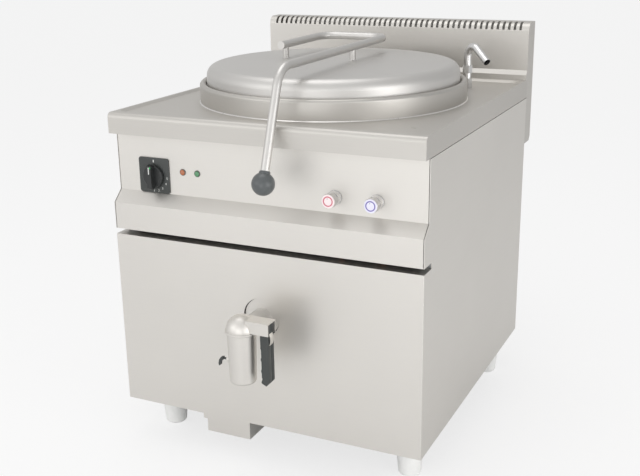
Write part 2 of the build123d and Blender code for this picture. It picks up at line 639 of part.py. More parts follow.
def lid_pieces():
    """Lid, stiffener, handle, hinge."""
    y = CENTRE_Y
    t = LID_SHEET
    slope = (LID_TOP - LID_EDGE_Z) / (LID_R - t)
    low_edge = LID_EDGE_Z - t
    outer = [(LID_R, LID_LOW), (LID_R, LID_EDGE_Z), (0, LID_TOP), (0, LID_LOW)]
    inner = [(LID_R - t, LID_LOW), (LID_R - t, low_edge), (0, LID_TOP - t), (0, LID_LOW)]
    block = turned(outer, 0, y, {1: LID_ROUND})
    shell = block - turned(inner, 0, y, {1: LID_ROUND - t})
    save("lid_shell", shell)

    def under(radius):
        return LID_TOP - t - slope * radius

    disc = turned(
        [(20, under(20)), (20, under(20) - 3), (200, under(200) - 3), (200, under(200))], 0, y
    )
    save("lid_stiffener", disc)

    down = Vector(0, -60, -158).normalized()
    ball = Vector(*BALL)
    start = ball - down * 12
    corner = Vector(LEVER_X, 28.7, HANDLE_Z)
    start = Vector(LEVER_X, start.Y, start.Z)
    rail = [start, corner, (LEVER_X, CROSS_Y, HANDLE_Z), (SHORT_X, CROSS_Y, HANDLE_Z),
            (SHORT_X, POST_Y - 25, HANDLE_Z)]
    handle = tube(rail, [60, 45, 50], HANDLE_R, HANDLE_WALL)
    solid_handle = tube(rail, [60, 45, 50], HANDLE_R)
    save("lid_handle", handle)
    posts = []
    for x in (SHORT_X, LEVER_X):
        post = rod("z", x, POST_Y, LID_TOP - 9, HANDLE_Z, POST_R) - block - solid_handle
        posts.append(post.solids().sort_by(SortBy.VOLUME)[-1])
    save("handle_posts", *posts)
    end = POST_Y - 25
    plug = rod("y", SHORT_X, HANDLE_Z, end - 2.5, end, HANDLE_R)
    plug += rod("y", SHORT_X, HANDLE_Z, end, end + 10, HANDLE_R - HANDLE_WALL)
    save("handle_plug", plug)
    knob = Pos(*BALL) * Sphere(BALL_R)
    up = (corner - start).normalized()
    bore = tube([start, start + up * 30], None, HANDLE_R)
    save("handle_ball", knob - bore)

    leaf = box(-LEAF_HALF, LEAF_HALF, HINGE_Y - 60, HINGE_Y, HINGE_Z - 3, HINGE_Z + 1)
    leaf -= rod("z", 0, y, LID_LOW - 5, HINGE_Z + 10, LID_R)
    leaf += rod("x", HINGE_Y, HINGE_Z, -LEAF_HALF, LEAF_HALF, 9)
    leaf -= rod("x", HINGE_Y, HINGE_Z, -60, 60, HINGE_PIN_R + FIT)
    save("hinge_leaf", leaf)
    x0 = LEAF_HALF + CLEAR
    cheek = box(x0, x0 + 12, HINGE_Y - 10, HINGE_Y + 10, WELL_Z + 3, HINGE_Z)
    cheek += rod("x", HINGE_Y, HINGE_Z, x0, x0 + 12, 10)
    base = box(-70, 70, HINGE_Y - 24, HINGE_Y + 10, WELL_Z, WELL_Z + 3) + cheek + mirrored(cheek)
    base -= rod("x", HINGE_Y, HINGE_Z, -80, 80, HINGE_PIN_R)
    save("hinge_base", base)
    pin = rod("x", HINGE_Y, HINGE_Z, -x0 - 15, x0 + 15, HINGE_PIN_R)
    head = rod("x", HINGE_Y, HINGE_Z, x0 + 12, x0 + 15, 7.5)
    save("hinge_pin", pin + head + mirrored(head))


def lobed_knob(x):
    """Tap knob with six lobes; its ring groove and spindle bore face front and rear."""
    rim = Circle(14.6)
    for k in range(6):
        angle = math.radians(60 * k + 30)
        rim += Pos(12.6 * math.cos(angle), 12.6 * math.sin(angle)) * Circle(4.4)
    knob = extrude(rim, KNOB_LONG)
    knob -= Pos(0, 0, KNOB_LONG) * (Cylinder(INDEX_R, 2) - Cylinder(INDEX_R - 2.4, 2))
    knob -= Pos(0, 0, 7) * Cylinder(SPINDLE_R + FIT, 16)
    return Pos(x, KNOB_Y, TAP_Z) * Rot(90, 0, 0) * knob


def water_pieces():
    """Taps, pipes and the filling spout."""
    bodies = []
    roses = []
    inner = PANEL_Y + SHEET
    for x in TAP_X:
        body = rod("y", x, TAP_Z, inner, TAP_BODY_Y + 19, 12)
        body += rod("z", x, TAP_BODY_Y, TAP_Z - 20, TAP_Z + 20, TAP_BODY_R)
        body += rod("y", x, TAP_Z, KNOB_Y - 14, inner, SPINDLE_R)
        body -= rod("z", x, TAP_BODY_Y, TAP_Z - 30, TAP_Z - 10, PIPE_R - PIPE_WALL)
        body -= rod("z", x, TAP_BODY_Y, TAP_Z + 10, TAP_Z + 30, PIPE_R - PIPE_WALL)
        bodies.append(body)
        roses.append(turned_front(
            [(SPINDLE_R, -PANEL_Y), (ROSE_R + 0.8, -PANEL_Y), (ROSE_R + 0.8, -PANEL_Y + 2),
             (ROSE_R, -PANEL_Y + 2.5), (ROSE_R, -PANEL_Y + ROSE_LONG), (SPINDLE_R, -PANEL_Y + ROSE_LONG)],
            x, TAP_Z,
        ))
    save("tap_valve_bodies", *bodies)
    save("tap_rosettes", *roses)
    face = KNOB_Y - KNOB_LONG
    for name, x in (("hot", TAP_X[0]), ("cold", TAP_X[1])):
        save(f"{name}_knob", lobed_knob(x))
        ring = rod("y", x, TAP_Z, face - 0.3, face + 1, INDEX_R)
        save(f"{name}_index", ring - rod("y", x, TAP_Z, face - 1, face + 2, INDEX_R - 2.4))
        out = DEPTH - 25
        inlet = tube(
            [(x, out, INLET_Z), (x, TAP_BODY_Y, INLET_Z), (x, TAP_BODY_Y, TAP_Z - 20)],
            [30], PIPE_R, PIPE_WALL,
        )
        thread = rod("y", x, INLET_Z, BODY_BACK + 2, out, THREAD_R)
        thread -= rod("y", x, INLET_Z, BODY_BACK, out + 5, PIPE_R - PIPE_WALL)
        save(f"{name}_inlet_pipe", inlet + thread)

    x, y = SPOUT_X, SPOUT_Y
    level = MANIFOLD_Z
    joint = WELL_Z - 9
    supply = tube(
        [(TAP_X[0], TAP_BODY_Y, TAP_Z + 20), (TAP_X[0], TAP_BODY_Y, level),
         (MANIFOLD_X, TAP_BODY_Y, level), (MANIFOLD_X, y, level), (x, y, level), (x, y, joint)],
        [20, 20, 25, 16], PIPE_R, PIPE_WALL,
    )
    save("spout_supply_pipe", supply)
    tee = rod("x", TAP_BODY_Y, level, TAP_X[1] - 13, TAP_X[1] + 13, PIPE_R + 1.2)
    tee += rod("z", TAP_X[1], TAP_BODY_Y, TAP_Z + 20, level, PIPE_R)
    tee -= rod("x", TAP_BODY_Y, level, TAP_X[1] - 20, TAP_X[1] + 20, PIPE_R)
    save("mixer_pipe", tee)

    base_top = SPOUT_BASE_TOP
    base = rod("z", x, y, joint - 10, WELL_Z, SPOUT_THREAD_R)
    base += Pos(x, y, WELL_Z) * extrude(RegularPolygon(11.5, 6, major_radius=False), 26)
    base += rod("z", x, y, base_top, SPOUT_NUT_Z, 11)
    base -= rod("z", x, y, joint - 11, joint, PIPE_R)
    base -= rod("z", x, y, joint - 1, base_top + 3, PIPE_R - PIPE_WALL)
    base -= rod("z", x, y, base_top + 2, SPOUT_NUT_Z + 1, SPOUT_R + FIT)
    save("spout_base", base)
    nut = Pos(x, y, SPOUT_NUT_Z) * extrude(RegularPolygon(11.5, 6, major_radius=False), 21)
    nut -= rod("z", x, y, SPOUT_NUT_Z - 4, SPOUT_NUT_Z + 26, SPOUT_R + FIT)
    save("spout_nut", nut)
    lock = Pos(x, y, RAIL_HIGH - 6) * extrude(RegularPolygon(15, 6, major_radius=False), 6)
    save("spout_locknut", lock - rod("z", x, y, RAIL_HIGH - 10, WELL_Z + 6, SPOUT_THREAD_R))
    heading = math.radians(SPOUT_HEADING)
    ahead = Vector(math.cos(heading), math.sin(heading), 0)
    foot = Vector(x, y, 0)
    spout = tube(
        [foot + Vector(0, 0, base_top + 2 + CLEAR), foot + Vector(0, 0, SPOUT_BEND_Z),
         foot + ahead * SPOUT_REACH + Vector(0, 0, SPOUT_BEND_Z - SPOUT_DROP)],
        [26], SPOUT_R, PIPE_WALL,
    )
    save("spout_tube", spout)


def electric_pieces():
    """Regulator, lamps and the parts on the base tray."""
    x, z = REGULATOR
    bezel = box(x - 42, x + 42, PANEL_Y - 3, PANEL_Y, SLANT_HIGH + CLEAR, z + 44.5)
    bezel = fillet(bezel.edges().filter_by(Axis.Y), 5)
    bezel -= rod("y", x, z, PANEL_Y - 10, PANEL_Y + 10, 6)
    save("regulator_bezel", bezel)
    body = box(x - 28, x + 28, PANEL_Y + SHEET, 76, z - 24, z + 24)
    body += rod("y", x, z, 14, PANEL_Y + SHEET, 3)
    save("regulator_body", body)
    knob = turned_front([(0, -26.7), (28, -26.7), (28, -17), (0, -17)], x, z, {2: 2})
    bar = box(x - 7, x + 7, 4, 20, z - 28, z + 28)
    bar = fillet(bar.edges().filter_by(Axis.Y), 2.5)
    knob += bar
    knob -= rod("y", x, z, 13.7, 30, 3 + FIT)
    save("regulator_knob", knob)
    for name, lamp_x in LAMPS.items():
        lamp = turned_front(
            [(0, -52), (LAMP_R, -52), (LAMP_R, -PANEL_Y), (6.4, -PANEL_Y), (6.4, -27.5),
             (5.4, -26.5), (0, -25)],
            lamp_x, LAMP_Z,
        )
        save(name, lamp)
    tray = FLOOR_GAP + SHEET + 2
    x = 15 - HALF
    contactor = box(x, x + 55, 200, 285, tray, tray + 70)
    for y in (215, 263):
        contactor -= box(x - 1, x + 56, y, y + 7, tray + 50, tray + 80)
    save("contactor", contactor)


def main():
    os.makedirs("parts", exist_ok=True)
    body_panels()
    top_pieces()
    vessel()
    drain_valve()
    lid_pieces()
    water_pieces()
    electric_pieces()


main()
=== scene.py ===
import json
import logging
import math
from dataclasses import dataclass
from enum import Enum

import bmesh
import bpy
from mathutils import Matrix, Vector

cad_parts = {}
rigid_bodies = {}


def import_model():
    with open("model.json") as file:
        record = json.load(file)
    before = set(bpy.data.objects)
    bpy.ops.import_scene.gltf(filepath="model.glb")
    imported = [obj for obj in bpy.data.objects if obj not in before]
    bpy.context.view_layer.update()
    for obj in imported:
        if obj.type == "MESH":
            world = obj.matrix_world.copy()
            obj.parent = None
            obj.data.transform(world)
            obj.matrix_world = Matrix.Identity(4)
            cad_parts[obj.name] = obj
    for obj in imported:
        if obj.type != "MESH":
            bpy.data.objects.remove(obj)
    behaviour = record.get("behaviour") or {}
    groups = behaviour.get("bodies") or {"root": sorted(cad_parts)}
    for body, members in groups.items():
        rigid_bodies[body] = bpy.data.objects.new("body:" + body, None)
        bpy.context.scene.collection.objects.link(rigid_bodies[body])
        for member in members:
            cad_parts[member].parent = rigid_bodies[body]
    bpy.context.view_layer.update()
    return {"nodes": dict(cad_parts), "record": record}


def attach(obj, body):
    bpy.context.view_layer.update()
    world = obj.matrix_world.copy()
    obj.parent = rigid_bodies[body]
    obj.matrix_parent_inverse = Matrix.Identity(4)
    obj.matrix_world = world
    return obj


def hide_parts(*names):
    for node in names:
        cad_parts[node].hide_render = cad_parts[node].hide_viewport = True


for _leftover in list(bpy.data.objects):
    bpy.data.objects.remove(_leftover)

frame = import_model()

logging.basicConfig(level=logging.INFO, format="%(message)s")
LOG = logging.getLogger("kettle")

ROW_SHIFT = 383.25  # mm from the door face back to the row frame's origin


# ---------------------------------------------------------------- helpers


def at(x: float, y: float, z: float) -> Vector:
    """Point in the row frame.

    Args:
        x: mm to the right of the centre plane.
        y: mm behind the front panel's face.
        z: mm above the floor.

    Returns:
        The point in metres.
    """
    return Vector((x, y - ROW_SHIFT, z)) / 1000.0


def linear(code: str) -> tuple[float, float, float, float]:
    """sRGB hex to linear colour.

    Args:
        code: six hex digits.

    Returns:
        Linear RGBA.
    """
    out = []
    for k in (0, 2, 4):
        c = int(code[k:k + 2], 16) / 255.0
        out.append(c / 12.92 if c <= 0.04045 else ((c + 0.055) / 1.055) ** 2.4)
    return (out[0], out[1], out[2], 1.0)


def add_node(tree: bpy.types.NodeTree, kind: str, inputs: dict | None = None,
             **settings: object) -> bpy.types.Node:
    """Adds a node with its settings and links.

    Args:
        tree: the tree that takes the node.
        kind: Blender's node type name.
        inputs: value or output socket by input name or number.
        **settings: attributes of the node.

    Returns:
        The new node.
    """
    node = tree.nodes.new(kind)
    for key, value in settings.items():
        setattr(node, key, value)
    for key, value in (inputs or {}).items():
        if isinstance(value, bpy.types.NodeSocket):
            tree.links.new(value, node.inputs[key])
        else:
            node.inputs[key].default_value = value
    return node


class Grain(Enum):
    """Way that the grain of a finish runs."""

    ACROSS = (1.0, 0.0, 0.0)
    DEEP = (0.0, 1.0, 0.0)
    UP = (0.0, 0.0, 1.0)
    NONE = (0.0, 0.0, 0.0)


# ---------------------------------------------------------------- finishes


@dataclass(frozen=True)
class Steel:
    """Stainless sheet or tube, metallic, with the fine streaks that its belt or lathe left."""

    name: str
    colour: str
    roughness: float = 0.34
    grain: Grain = Grain.ACROSS
    streak_mm: float = 2.4  # real streaks are 0.2 mm; drawn this coarse so that they show
    length_mm: float = 130.0
    depth: float = 0.02
    spread: float = 0.05

    def build(self) -> bpy.types.Material:
        """Makes the material.

        Returns:
            The new material.
        """
        material = bpy.data.materials.new(self.name)
        material.use_nodes = True
        tree = material.node_tree
        shader = tree.nodes["Principled BSDF"]
        place = add_node(tree, "ShaderNodeTexCoord")
        fine = 1000.0 / self.streak_mm
        long = 1000.0 / self.length_mm
        scale = [long if axis else fine for axis in self.grain.value]
        stretch = add_node(tree, "ShaderNodeMapping",
                           {"Vector": place.outputs["Object"], "Scale": scale})
        streaks = add_node(tree, "ShaderNodeTexNoise",
                           {"Vector": stretch.outputs["Vector"], "Scale": 1.0, "Detail": 3.0,
                            "Roughness": 0.6})
        cloud = add_node(tree, "ShaderNodeTexNoise",
                         {"Vector": place.outputs["Object"], "Scale": 3.2, "Detail": 2.0})
        rough = add_node(tree, "ShaderNodeMapRange",
                         {"Value": streaks.outputs["Fac"], "From Min": 0.25, "From Max": 0.75,
                          "To Min": self.roughness - self.spread,
                          "To Max": self.roughness + self.spread})
        tree.links.new(rough.outputs["Result"], shader.inputs["Roughness"])
        base = linear(self.colour)
        dark = tuple(c * 0.955 for c in base[:3]) + (1.0,)
        tone = add_node(tree, "ShaderNodeMix", data_type="RGBA")
        tree.links.new(cloud.outputs["Fac"], tone.inputs["Factor"])
        tone.inputs[6].default_value = dark
        tone.inputs[7].default_value = tuple(min(1.0, c * 1.03) for c in base[:3]) + (1.0,)
        tree.links.new(tone.outputs[2], shader.inputs["Base Color"])
        bump = add_node(tree, "ShaderNodeBump",
                        {"Height": streaks.outputs["Fac"], "Strength": self.depth,
                         "Distance": 0.0004})
        tree.links.new(bump.outputs["Normal"], shader.inputs["Normal"])
        shader.inputs["Metallic"].default_value = 1.0
        return material


@dataclass(frozen=True)
class Plastic:
    """Moulded plastic, with the faint grain of its tool and a soft sheen."""

    name: str
    colour: str
    roughness: float = 0.42
    grain_mm: float = 0.8  # spark-eroded grain, drawn a little coarse
    depth: float = 0.06
    coat: float = 0.0

    def build(self) -> bpy.types.Material:
        """Makes the material.

        Returns:
            The new material.
        """
        material = bpy.data.materials.new(self.name)
        material.use_nodes = True
        tree = material.node_tree
        shader = tree.nodes["Principled BSDF"]
        place = add_node(tree, "ShaderNodeTexCoord")
        pits = add_node(tree, "ShaderNodeTexNoise",
                        {"Vector": place.outputs["Object"], "Scale": 1000.0 / self.grain_mm,
                         "Detail": 2.0})
        cloud = add_node(tree, "ShaderNodeTexNoise",
                         {"Vector": place.outputs["Object"], "Scale": 45.0, "Detail": 3.0})
        base = linear(self.colour)
        tone = add_node(tree, "ShaderNodeMix", data_type="RGBA")
        tree.links.new(cloud.outputs["Fac"], tone.inputs["Factor"])
        tone.inputs[6].default_value = tuple(c * 0.9 for c in base[:3]) + (1.0,)
        tone.inputs[7].default_value = tuple(min(1.0, c * 1.06) for c in base[:3]) + (1.0,)
        tree.links.new(tone.outputs[2], shader.inputs["Base Color"])
        rough = add_node(tree, "ShaderNodeMapRange",
                         {"Value": cloud.outputs["Fac"], "From Min": 0.3, "From Max": 0.7,
                          "To Min": self.roughness - 0.05, "To Max": self.roughness + 0.05})
        tree.links.new(rough.outputs["Result"], shader.inputs["Roughness"])
        bump = add_node(tree, "ShaderNodeBump",
                        {"Height": pits.outputs["Fac"], "Strength": self.depth,
                         "Distance": 0.0002})
        tree.links.new(bump.outputs["Normal"], shader.inputs["Normal"])
        shader.inputs["Coat Weight"].default_value = self.coat
        return material


@dataclass(frozen=True)
class Wool:
    """Mineral wool mat: matt dark fibres with soft lumps."""

    name: str
    colour: str
    fibre_mm: float = 3.0

    def build(self) -> bpy.types.Material:
        """Makes the material.

        Returns:
            The new material.
        """
        material = bpy.data.materials.new(self.name)
        material.use_nodes = True
        tree = material.node_tree
        shader = tree.nodes["Principled BSDF"]
        place = add_node(tree, "ShaderNodeTexCoord")
        fibre = add_node(tree, "ShaderNodeTexNoise",
                         {"Vector": place.outputs["Object"], "Scale": 1000.0 / self.fibre_mm,
                          "Detail": 5.0})
        base = linear(self.colour)
        tone = add_node(tree, "ShaderNodeMix", data_type="RGBA")
        tree.links.new(fibre.outputs["Fac"], tone.inputs["Factor"])
        tone.inputs[6].default_value = tuple(c * 0.6 for c in base[:3]) + (1.0,)
        tone.inputs[7].default_value = base
        tree.links.new(tone.outputs[2], shader.inputs["Base Color"])
        bump = add_node(tree, "ShaderNodeBump",
                        {"Height": fibre.outputs["Fac"], "Strength": 0.6, "Distance": 0.002})
        tree.links.new(bump.outputs["Normal"], shader.inputs["Normal"])
        shader.inputs["Roughness"].default_value = 0.95
        return material


class Finishes:
    """All finishes of the kettle, by the record's slot and by name."""

    TABLE: dict[str, Steel | Plastic | Wool] = {
        # belt-brushed stainless sheet: pale, satin, streaks run across the panels
        "panel_steel": Steel("stainless_sheet_front", "DFDCD7", roughness=0.46, spread=0.03),
        "side_steel": Steel("stainless_sheet_side", "DFDCD7", roughness=0.46, spread=0.03,
                            grain=Grain.DEEP),
        "splash_steel": Steel("stainless_sheet_splash", "D0CDC8", roughness=0.46, spread=0.03),
        # pressed worktop, satin finish, a little deeper in tone
        "worktop_steel": Steel("stainless_worktop", "CCC9C4", roughness=0.5, spread=0.03),
        # rolled ring and spun lid: plain satin with soft highlights along their rolled edges
        "collar_steel": Steel("stainless_rolled_ring", "C4C1BC", roughness=0.46,
                              grain=Grain.NONE, streak_mm=60.0, depth=0.0, spread=0.02),
        "lid_steel": Steel("stainless_spun_lid", "D2D0CD", roughness=0.46,
                           grain=Grain.NONE, streak_mm=60.0, depth=0.0, spread=0.02),
        # polished tube of the lever
        "tube_steel": Steel("stainless_polished_tube", "D4D2CF", roughness=0.42,
                            grain=Grain.DEEP, depth=0.01),
        "pan_steel": Steel("stainless_pressed_pan", "D2D0CD", roughness=0.42,
                           grain=Grain.NONE, streak_mm=16.0),
        # hot-dip galvanised sheet: duller, with slow cloudy tone
        "galvanised": Steel("galvanised_sheet", "A9ABAC", roughness=0.5,
                            grain=Grain.NONE, streak_mm=12.0),
        # machined casting of the valve
        "valve_steel": Steel("stainless_turned_valve", "DDDAD5", roughness=0.46, spread=0.03,
                             grain=Grain.UP, streak_mm=3.0, depth=0.01),
        # nickel-chrome plate: bright and smooth
        "chrome_plate": Steel("chrome_plate", "DAD9D8", roughness=0.26,
                              grain=Grain.NONE, streak_mm=15.0, depth=0.0, spread=0.02),
        "copper_pipe": Steel("drawn_copper", "C8835F", roughness=0.3, grain=Grain.DEEP),
        "brass_fitting": Steel("turned_brass", "B99A5A", roughness=0.3, grain=Grain.NONE),
        "element_sheath": Steel("alloy_sheath", "6E6A66", roughness=0.55, grain=Grain.DEEP),
        "screw_steel": Steel("zinc_plate", "A0A2A4", roughness=0.35, grain=Grain.NONE),
        "insulation_wool": Wool("mineral_wool", "686866"),
        "gasket_rubber": Plastic("silicone_rubber", "B9B8B4", roughness=0.6),
        # moulded black plastic, satin
        "black_plastic": Plastic("moulded_pa_black", "3D403F", roughness=0.45),
        # grip_shade: the grip's black plastic drawn darker for its rear moulding, as painted
        # shade for the gap beside the barrel
        "grip_shade": Plastic("moulded_pa_painted_shade", "333636", roughness=0.5),
        "knob_black": Plastic("moulded_abs_black", "2B2D2D", roughness=0.38),
        "ball_plastic": Plastic("phenolic_ball", "55595A", roughness=0.36, coat=0.15),
        "switch_case": Plastic("moulded_pbt_pale", "CBC8BE"),
        "amber_lens": Plastic("acrylic_amber", "B0653C", roughness=0.18, depth=0.0, coat=0.6),
        "green_lens": Plastic("acrylic_green", "4C8A5E", roughness=0.18, depth=0.0, coat=0.6),
        # tap knob: satin-plated grip with a pale tinted face and its colour ring
        "tap_white": Steel("plated_tap_grip", "CFCDCB", roughness=0.34, grain=Grain.NONE,
                           streak_mm=15.0, depth=0.0, spread=0.02),
        "tap_face_hot": Plastic("moulded_face_hot", "F7E9EA", roughness=0.3, depth=0.02),
        "tap_face_cold": Plastic("moulded_face_cold", "EAE8F6", roughness=0.3, depth=0.02),
        "index_red": Plastic("moulded_ring_red", "CB6276", roughness=0.4),
        "index_blue": Plastic("moulded_ring_blue", "7066B0", roughness=0.4),
        "lamp_rim": Plastic("moulded_lamp_rim", "6A6966", roughness=0.35),
        "foot_white": Plastic("moulded_pa_white", "F2F2F0", roughness=0.5),
        # printed marks on the dial
        "mark_white": Plastic("ink_white", "E9EAE6", roughness=0.6, depth=0.0),
        "mark_green": Plastic("ink_green", "3FAE62", roughness=0.6, depth=0.0),
        "weld_bright": Steel("weld_dressed", "E6E4E1", roughness=0.3, grain=Grain.NONE,
                             streak_mm=5.0),
    }
    _made: dict[str, bpy.types.Material] = {}

    @classmethod
    def get(cls, slot: str) -> bpy.types.Material:
        """Material of a slot, made on first use.

        Args:
            slot: key of the table.

        Returns:
            The material.
        """
        if slot not in cls._made:
            cls._made[slot] = cls.TABLE[slot].build()
        return cls._made[slot]

    @classmethod
    def dress_frame(cls) -> None:
        """Gives every CAD node the finish of its slot."""
        slots = {s["node"]: s["material_slot"] for s in frame["record"]["subparts"]}
        slots["pipe_disc"] = "panel_steel"  # its face has the tone of the front panel
        slots["handle_plug"] = "tube_steel"  # the plug is as pale as the tube
        for name, node in frame["nodes"].items():
            material = cls.get(slots[name])
            if not node.data.materials:
                node.data.materials.append(material)
            for k in range(len(node.data.materials)):
                node.data.materials[k] = material


# ---------------------------------------------------------------- mesh building


class Shop:
    """Makes meshes and puts pieces on their bodies."""

    @staticmethod
    def piece(name: str, mesh: bpy.types.Mesh, slot: str, body: str,
              where: Matrix | None = None, smooth_deg: float = 35.0,
              replaces: tuple[str, ...] = ()) -> bpy.types.Object:
        """Places a mesh as a piece that rides on a body.

        Args:
            name: the piece's name.
            mesh: its mesh, in metres.
            slot: finish slot.
            body: CAD body that it rides on.
            where: placement in the row frame.
            smooth_deg: edges flatter than this are shaded smooth.
            replaces: CAD nodes that it stands for.

        Returns:
            The new object.
        """
        thing = bpy.data.objects.new(name, mesh)
        bpy.context.scene.collection.objects.link(thing)
        if where is not None:
            thing.matrix_world = where
        mesh.materials.append(Finishes.get(slot))
        mesh.polygons.foreach_set("use_smooth", [True] * len(mesh.polygons))
        mesh.set_sharp_from_angle(angle=math.radians(smooth_deg))
        if replaces:
            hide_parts(*replaces)
        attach(thing, body)
        LOG.info("piece %s on %s, %d faces", name, body, len(mesh.polygons))
        return thing

    @staticmethod
    def turned(name: str, profile: list[tuple[float, float]], steps: int = 48,
               closed: bool = False) -> bpy.types.Mesh:
        """Turns a profile about the local Z axis.

        Args:
            name: mesh name.
            profile: (radius, height) points in mm.
            steps: number of steps round.
            closed: whether the profile is a loop.

        Returns:
            The mesh, in metres.
        """
        work = bmesh.new()
        rings = []
        for radius, height in profile:
            ring = []
            if radius < 1e-6:
                ring.append(work.verts.new((0, 0, height / 1000)))
            else:
                for k in range(steps):
                    a = 2 * math.pi * k / steps
                    ring.append(work.verts.new(
                        (radius * math.cos(a) / 1000, radius * math.sin(a) / 1000,
                         height / 1000)))
            rings.append(ring)
        pairs = list(zip(rings, rings[1:]))
        if closed:
            pairs.append((rings[-1], rings[0]))
        for low, high in pairs:
            for k in range(steps):
                j = (k + 1) % steps
                corners = [low[k % len(low)], low[j % len(low)],
                           high[j % len(high)], high[k % len(high)]]
                unique = list(dict.fromkeys(corners))
                if len(unique) > 2:
                    work.faces.new(unique)
        bmesh.ops.recalc_face_normals(work, faces=work.faces)
        mesh = bpy.data.meshes.new(name)
        work.to_mesh(mesh)
        work.free()
        return mesh

    @staticmethod
    def slab(name: str, outline: list[tuple[float, float]], low: float, high: float,
             bevel: float = 0.0, segments: int = 3) -> bpy.types.Mesh:
        """Extrudes an outline along local Z and rounds the edges of its two faces.

        Args:
            name: mesh name.
            outline: (x, y) points in mm, anticlockwise.
            low: lower height in mm.
            high: upper height in mm.
            bevel: edge radius in mm.
            segments: facets across the edge radius.

        Returns:
            The mesh, in metres.
        """
        work = bmesh.new()
        base = [work.verts.new((x / 1000, y / 1000, low / 1000)) for x, y in outline]
        top = [work.verts.new((x / 1000, y / 1000, high / 1000)) for x, y in outline]
        work.faces.new(base[::-1])
        work.faces.new(top)
        count = len(outline)
        for k in range(count):
            j = (k + 1) % count
            work.faces.new((base[k], base[j], top[j], top[k]))
        if bevel:
            rims = [e for e in work.edges
                    if abs(e.verts[0].co.z - e.verts[1].co.z) < 1e-9]
            bmesh.ops.bevel(work, geom=rims, offset=bevel / 1000, segments=segments,
                            profile=0.5, affect="EDGES", clamp_overlap=True)
        bmesh.ops.recalc_face_normals(work, faces=work.faces)
        mesh = bpy.data.meshes.new(name)
        work.to_mesh(mesh)
        work.free()
        return mesh

    @staticmethod
    def torus(name: str, major: float, minor: float, steps: int = 96,
              sides: int = 10) -> bpy.types.Mesh:
        """Ring of round section about the local Z axis, sizes in mm."""
        profile = [(major + minor * math.cos(2 * math.pi * k / sides),
                    minor * math.sin(2 * math.pi * k / sides)) for k in range(sides)]
        return Shop.turned(name, profile, steps, closed=True)

    @staticmethod
    def rounded(half_w: float, half_h: float, radius: float,
                steps: int = 6) -> list[tuple[float, float]]:
        """Outline of a rectangle with round corners.

        Args:
            half_w: half its width in mm.
            half_h: half its height in mm.
            radius: corner radius in mm.
            steps: facets in each corner.

        Returns:
            The points, anticlockwise.
        """
        points = []
        for k, (sx, sy) in enumerate(((1, 1), (-1, 1), (-1, -1), (1, -1))):
            for i in range(steps + 1):
                a = math.pi / 2 * (k + i / steps)
                points.append((sx * (half_w - radius) + radius * math.cos(a),
                               sy * (half_h - radius) + radius * math.sin(a)))
        return points

    @staticmethod
    def facing_front(x: float, y: float, z: float) -> Matrix:
        """Placement whose local Z points forward, X right and Y up, at a point in mm."""
        turn = Matrix(((1, 0, 0), (0, 0, -1), (0, 1, 0))).to_4x4()
        return Matrix.Translation(at(x, y, z)) @ turn

    @staticmethod
    def upright(x: float, y: float, z: float) -> Matrix:
        """Placement with its axes along the row's, at a point in mm."""
        return Matrix.Translation(at(x, y, z))


# ---------------------------------------------------------------- sub-assemblies


